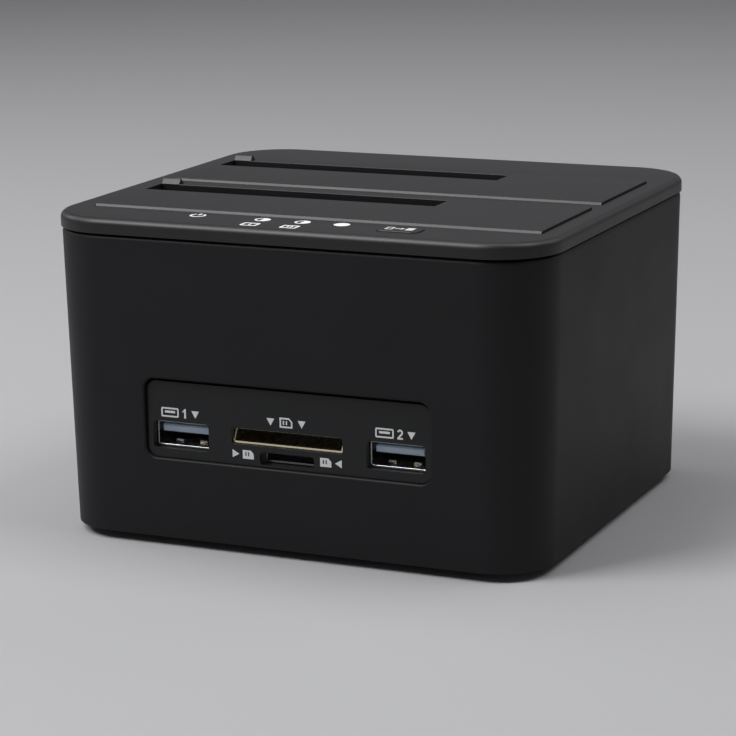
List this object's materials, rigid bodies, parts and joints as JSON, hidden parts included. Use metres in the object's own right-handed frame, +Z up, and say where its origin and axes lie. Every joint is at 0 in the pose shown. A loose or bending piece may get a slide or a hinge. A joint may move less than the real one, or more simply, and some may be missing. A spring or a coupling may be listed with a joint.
{
  "type": "hard drive docking station",
  "caption": "Box-shaped desktop dock that holds upright hard drives in spring-flap bays, with front sockets, card slots and a push button.",
  "frame": {"origin": "on the standing surface, under the middle of the body", "axes": "+X to the right of someone facing the front, +Y to the rear, +Z up"},
  "size_m": [0.1156, 0.1056, 0.073],
  "materials": {
    "housing_abs": "satin moulded",
    "cover_abs": "fine moulded texture",
    "well_abs": "moulded",
    "panel_abs": "satin moulded",
    "button_abs": "satin moulded",
    "steel": "drawn wire and turned pins",
    "tinned_steel": "tinned sheet",
    "gilt_steel": "tinned sheet, warm tint",
    "contact_gold": "plated",
    "tongue_plastic": "moulded",
    "socket_plastic": "moulded",
    "circuit_board": "solder mask",
    "clear_guide": "clear moulded",
    "lamp": "lamp lens",
    "plunger": "moulded",
    "chip": "moulded epoxy",
    "capacitor": "drawn can",
    "cable": "flat ribbon",
    "foot_rubber": "matte"
  },
  "bodies": {
    "dock": {"housing": "housing_abs", "top_cover": "cover_abs", "front_bay_well": "well_abs", "rear_bay_well": "well_abs", "front_hinge_pin": "steel", "rear_hinge_pin": "steel", "front_flap_spring": "steel", "rear_flap_spring": "steel", "clone_switch": "socket_plastic", "light_guides": "clear_guide", "indicator_leds": "lamp", "top_board": "circuit_board", "top_board_screws": "steel", "front_panel": "panel_abs", "front_board": "circuit_board", "front_board_screws": "steel", "left_usb_shell": "tinned_steel", "right_usb_shell": "tinned_steel", "left_usb_tongue": "tongue_plastic", "right_usb_tongue": "tongue_plastic", "usb_contacts": "contact_gold", "card_slot_shell": "gilt_steel", "card_slot_block": "socket_plastic", "small_card_shell": "tinned_steel", "small_card_block": "socket_plastic", "main_board": "circuit_board", "main_board_screws": "steel", "board_header": "socket_plastic", "ribbon_cable": "cable", "front_drive_socket": "socket_plastic", "rear_drive_socket": "socket_plastic", "board_chips": "chip", "capacitors": "capacitor", "power_inlet": "socket_plastic", "power_inlet_pin": "steel", "upstream_shell": "tinned_steel", "upstream_tongue": "tongue_plastic", "power_switch": "socket_plastic", "base_cover": "housing_abs", "base_screws": "steel", "feet": "foot_rubber"},
    "front_flap": {"front_flap": "cover_abs"},
    "rear_flap": {"rear_flap": "cover_abs"},
    "clone_button": {"clone_button": "button_abs", "clone_plunger": "plunger"},
    "power_button": {"power_button": "button_abs"}
  },
  "joints": [
    {"name": "front_flap_hinge", "type": "hinge", "parent": "dock", "child": "front_flap", "pos_m": [0.00069, -0.0366, 0.07], "axis": [-1, 0, 0], "range_deg": [0, 88], "stiffness_Nm_per_rad": 0.01, "springref_deg": -28.65, "deforming": ["front_flap_spring"]},
    {"name": "rear_flap_hinge", "type": "hinge", "parent": "dock", "child": "rear_flap", "pos_m": [0.00069, 0.0005, 0.07], "axis": [-1, 0, 0], "range_deg": [0, 88], "stiffness_Nm_per_rad": 0.01, "springref_deg": -28.65, "deforming": ["rear_flap_spring"]},
    {"name": "clone_press", "type": "slide", "parent": "dock", "child": "clone_button", "axis": [0, 0, -1], "range_m": [0, 0.0006], "stiffness_N_per_m": 500, "springref_m": -0.0005},
    {"name": "power_press", "type": "slide", "parent": "dock", "child": "power_button", "axis": [0, -1, 0], "range_m": [0, 0.0012], "stiffness_N_per_m": 500, "springref_m": -0.0005}
  ]
}
